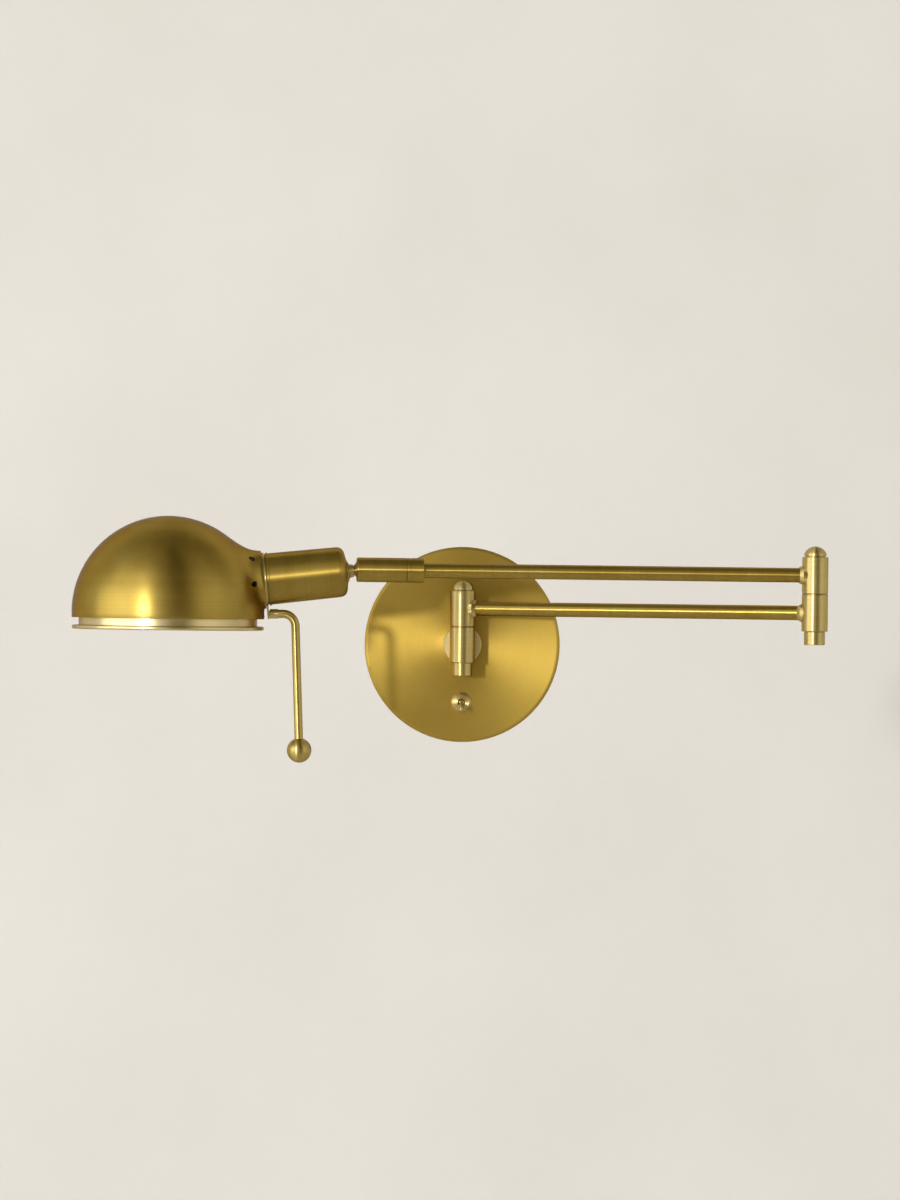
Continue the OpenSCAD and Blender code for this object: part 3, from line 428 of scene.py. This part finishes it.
def give_wall(shade):
    """Gives the sheet its thickness inwards and rounds its edges."""
    wall = shade.modifiers.new("sheet", "SOLIDIFY")
    wall.thickness = SHEET
    wall.offset = -1
    wall.use_even_offset = True
    edges = shade.modifiers.new("rolled_edges", "BEVEL")
    edges.width = EDGE_ROUND
    edges.segments = EDGE_STEPS
    edges.limit_method = "ANGLE"
    edges.angle_limit = EDGE_ANGLE
    apply_modifiers(shade)


def drill_vents(shade):
    """Drills the row of round vents over the top of the neck."""
    side = UP.cross(neck_dir).normalized()
    over = neck_dir.cross(side)
    drills = []
    for i in range(VENTS):
        around = math.radians(VENT_DEGREES * (i - (VENTS - 1) / 2))
        out = side * math.sin(around) + over * math.cos(around)
        deselect_all()
        bpy.ops.mesh.primitive_cylinder_add(
            vertices=DRILL_SIDES, radius=VENT_R, depth=DRILL_LENGTH,
            location=neck_at + neck_dir * VENT_FROM_NECK + out * (NECK_R + DRILL_OUT),
            rotation=out.to_track_quat("Z", "Y").to_euler())
        drills.append(bpy.context.object)
    select_only(*drills)
    bpy.ops.object.join()
    drill = bpy.context.object
    cut = shade.modifiers.new("vents", "BOOLEAN")
    cut.object = drill
    cut.operation = "DIFFERENCE"
    apply_modifiers(shade)
    bpy.data.objects.remove(drill)


shade = spin_sheet("shade_spun")
give_wall(shade)
drill_vents(shade)
select_only(shade)
bpy.ops.object.shade_smooth_by_angle(angle=SMOOTH_ANGLE)
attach(shade, "head")
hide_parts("shade")


# Each piece's finish

def dress(names, material):
    for name in names:
        piece = nodes.get(name) or bpy.data.objects[name]
        piece.data.materials.clear()
        piece.data.materials.append(material)


dress(["canopy"],
      satin_brass("brass_canopy", canopy_at, OUT, PRESSED_AND_LIT, lines=5600.0, rough=(0.46, 0.52),
                  grain=0.05, stretch=0.75))
# The boss's paler, less yellow brass is partly its own finish and partly a painted reflection of
# the bright room that its flat face looks into
dress(["wall_boss"], plain_metal("brass_boss", (0.62, 0.49, 0.22), (0.70, 0.57, 0.28), 0.46))
dress(["switch_dress_nut", "switch_bushing", "switch_lever"],
      satin_brass("brass_switch", toggle_at, OUT, TURNED_AND_LIT, lines=6000.0))
dress(["wall_fixed_barrel", "wall_pivot_nut", "wall_pivot_cap", "lower_arm_wall_barrel"],
      satin_brass("brass_wall_pivot", wall_axis_at, UP, TURNED_AND_LIT))
dress(["lower_arm_elbow_barrel", "upper_arm_barrel", "elbow_cap", "elbow_nut"],
      satin_brass("brass_elbow", elbow_axis_at, UP, TURNED_AND_LIT))
dress(["lower_arm_tube"],
      satin_brass("brass_lower_arm", wall_axis_at, lower_arm_dir, lines=3600.0,
                  rough=(0.27, 0.32), grain=0.08))
dress(["upper_arm_tube", "swivel_collar", "swivel_sleeve"],
      satin_brass("brass_upper_arm", ball_at, upper_arm_dir, lines=3600.0, rough=(0.27, 0.32),
                  grain=0.08))
dress(["socket_housing"],
      satin_brass("brass_housing", ball_at, neck_dir, lines=3900.0, rough=(0.36, 0.42),
                  stretch=0.90))
dress(["ball_stud", "stud_lock_nut", "handle_plate", "handle_ferrule"],
      satin_brass("brass_neck", ball_at, neck_dir, TURNED_AND_LIT, lines=3900.0, rough=(0.36, 0.42)))
dress(["shade", "shade_spun"],
      satin_brass("brass_shade", dome_at, UP, lines=3900.0, rough=(0.31, 0.37), stretch=0.60))
dress(["shade_trim_ring"],
      satin_brass("brass_trim_ring", dome_at, UP, POLISHED_AND_SHEEN, rough=(0.27, 0.33), stretch=0.60))
dress(["handle_rod", "handle_ball"],
      satin_brass("brass_rod", rod_at, UP, DRAWN_AND_LIT, lines=3600.0, rough=(0.28, 0.34)))
dress(["canopy_set_screws"],
      plain_metal("brass_screws", (0.42, 0.28, 0.08), (0.66, 0.47, 0.17), 0.32))
dress(["mounting_bracket", "wall_nipple", "nipple_lock_washer", "nipple_hex_nut",
       "wall_pivot_pin", "elbow_pin", "switch_back_nut", "stud_inner_nut", "swivel_keeper_nut",
       "swivel_bush", "seat_stop_ring", "seat_spring_washer", "shade_neck_ring"],
      plain_metal("zinc_plated_steel", (0.42, 0.43, 0.45), (0.62, 0.63, 0.64), 0.38))
dress(["lampholder_shell", "lampholder_contact"],
      plain_metal("bright_brass_sheet", (0.66, 0.48, 0.18), (0.82, 0.64, 0.30), 0.22))
dress(["bulb_base"], plain_metal("bulb_cap_metal", (0.62, 0.62, 0.61), (0.78, 0.78, 0.77), 0.28))
dress(["ground_screw"], moulded("green_screw", (0.02, 0.16, 0.05), (0.03, 0.22, 0.08), 0.35))
dress(["switch_body"], moulded("black_moulding", (0.012, 0.012, 0.013), (0.02, 0.02, 0.022), 0.5))
dress(["wall_friction_washer", "elbow_friction_washer"],
      plain_metal("phosphor_bronze", (0.30, 0.19, 0.08), (0.42, 0.27, 0.12), 0.34))
dress(["ball_seat_cup"], moulded("nylon_cup", (0.72, 0.71, 0.67), (0.80, 0.79, 0.75), 0.45))
dress(["lampholder"], moulded("dark_phenolic", (0.010, 0.008, 0.006), (0.022, 0.017, 0.013), 0.4))
dress(["bulb_glass"], frosted_glass("frosted_bulb"))


# The backdrop and the floor

# The backdrop stands behind the reach of the arms, so that it hides nothing at any pose
BACKDROP_Y, BACKDROP_TOP = 1.5, 3.5
STAGE_X, FLOOR_FRONT, FLOOR_Z = 4.0, -4.0, -1.0


def pale_plaster():
    """Rough pale plaster, clear from behind and from below, so that the object's back shows."""
    material, tree, shader, position = new_material("pale_plaster")
    wide = noise(tree, position, scale=3.2, detail=5.0)
    tree.links.new(ramp(tree, wide, [(0.35, (0.81, 0.79, 0.775)), (0.65, (0.85, 0.835, 0.825))]),
                   shader.inputs["Base Color"])
    bump(tree, shader, noise(tree, position, scale=260.0, detail=4.0), 0.25, 0.6 * MM)
    shader.inputs["Roughness"].default_value = 0.85
    behind = add_node(tree, "ShaderNodeNewGeometry").outputs["Backfacing"]
    tree.links.new(number_math(tree, "SUBTRACT", 1.0, behind), shader.inputs["Alpha"])
    return material


def stage_surface(name, corners, material):
    mesh = bpy.data.meshes.new(name)
    mesh.from_pydata([Vector(corner) for corner in corners], [], [(0, 1, 2, 3)])
    surface = bpy.data.objects.new(name, mesh)
    bpy.context.scene.collection.objects.link(surface)
    mesh.materials.append(material)


plaster = pale_plaster()
stage_surface("stage_backdrop",
              [(-STAGE_X, BACKDROP_Y, FLOOR_Z), (STAGE_X, BACKDROP_Y, FLOOR_Z),
               (STAGE_X, BACKDROP_Y, BACKDROP_TOP), (-STAGE_X, BACKDROP_Y, BACKDROP_TOP)], plaster)
stage_surface("stage_floor",
              [(-STAGE_X, FLOOR_FRONT, FLOOR_Z), (STAGE_X, FLOOR_FRONT, FLOOR_Z),
               (STAGE_X, BACKDROP_Y, FLOOR_Z), (-STAGE_X, BACKDROP_Y, FLOOR_Z)], plaster)


# Light

def add_lamp(name, kind, energy, colour, towards, place=(0, 0, 0), **settings):
    """A lamp that shines in the direction given by towards."""
    data = bpy.data.lights.new(name, kind)
    data.energy = energy
    data.color = colour
    for setting, value in settings.items():
        setattr(data, setting, value)
    lamp = bpy.data.objects.new(name, data)
    bpy.context.scene.collection.objects.link(lamp)
    lamp.location = place
    lamp.rotation_euler = Vector(towards).to_track_quat("-Z", "Y").to_euler()


def add_window(name, place, target, width, height, energy):
    """A soft rectangular lamp that faces a target."""
    add_lamp(name, "AREA", energy, (1.0, 0.99, 0.96), Vector(target) - Vector(place), place,
             shape="RECTANGLE", size=width, size_y=height)


def room_light():
    """A plain room: soft side walls, a dark stretch behind the camera and a dim ceiling."""
    world = bpy.data.worlds.new("room")
    bpy.context.scene.world = world
    world.use_nodes = True
    tree = world.node_tree
    background = tree.nodes["Background"]
    direction = add_node(tree, "ShaderNodeTexCoord").outputs["Generated"]
    split = add_node(tree, "ShaderNodeSeparateXYZ")
    tree.links.new(direction, split.inputs[0])
    turn = number_math(tree, "ARCTAN2", split.outputs["X"],
                       number_math(tree, "MULTIPLY", split.outputs["Y"], -1.0))
    # 0 is to the left, 0.5 straight behind the camera and 1 to the right
    around = between(tree, turn, 0.0, 1.0, start=-math.pi / 2, end=math.pi / 2)
    walls = ramp(tree, around, [
        (0.0, (0.50, 0.49, 0.46)), (0.10, (0.64, 0.64, 0.62)), (0.36, (0.64, 0.64, 0.63)),
        (0.44, (0.52, 0.51, 0.47)), (0.50, (0.36, 0.34, 0.28)), (0.56, (0.14, 0.12, 0.07)),
        (0.65, (0.12, 0.10, 0.06)), (0.74, (0.58, 0.56, 0.48)), (0.84, (0.66, 0.64, 0.58)),
        (1.0, (0.44, 0.42, 0.37))])
    # 0 is straight down, 0.5 level and 1 straight up
    height = between(tree, split.outputs["Z"], 0.0, 1.0, start=-1.0)
    floor_up = ramp(tree, height, [
        (0.0, (0.44, 0.39, 0.30)), (0.30, (0.50, 0.45, 0.36)), (0.42, (0.70, 0.67, 0.60)),
        (0.48, (1.0, 1.0, 1.0)), (0.62, (1.0, 1.0, 1.0)), (0.80, (0.64, 0.62, 0.56)),
        (0.90, (0.36, 0.34, 0.28)), (1.0, (0.26, 0.24, 0.19))])
    tree.links.new(vector_math(tree, "MULTIPLY", walls, floor_up), background.inputs["Color"])
    background.inputs["Strength"].default_value = 1.5


add_lamp("window_sun", "SUN", 0.95, (1.0, 0.98, 0.95), towards=(0.456, 1.0, -0.071),
         angle=math.radians(3.0))
add_window("window_low", place=(-2.0, -1.5, 0.15), target=(-0.1, -0.12, 0.02),
           width=3.1, height=1.3, energy=16)
add_window("window_tall", place=(-2.0, -1.75, 0.95), target=(-0.15, -0.15, 0.02),
           width=2.3, height=2.2, energy=9)
room_light()


# Camera, at the photograph's place: level with the arms, from 2.5 m

CAMERA_AT, CAMERA_LENS, CAMERA_ROLL = (-0.0087, -2.5, 0.0303), 108.84, math.radians(-0.7)
camera_data = bpy.data.cameras.new("camera")
camera_data.sensor_width = 36
camera_data.lens = CAMERA_LENS
camera = bpy.data.objects.new("camera", camera_data)
bpy.context.scene.collection.objects.link(camera)
camera.location = CAMERA_AT
camera.rotation_euler = (math.radians(90), CAMERA_ROLL, 0)
bpy.context.scene.camera = camera
bpy.context.scene.view_settings.view_transform = "Standard"
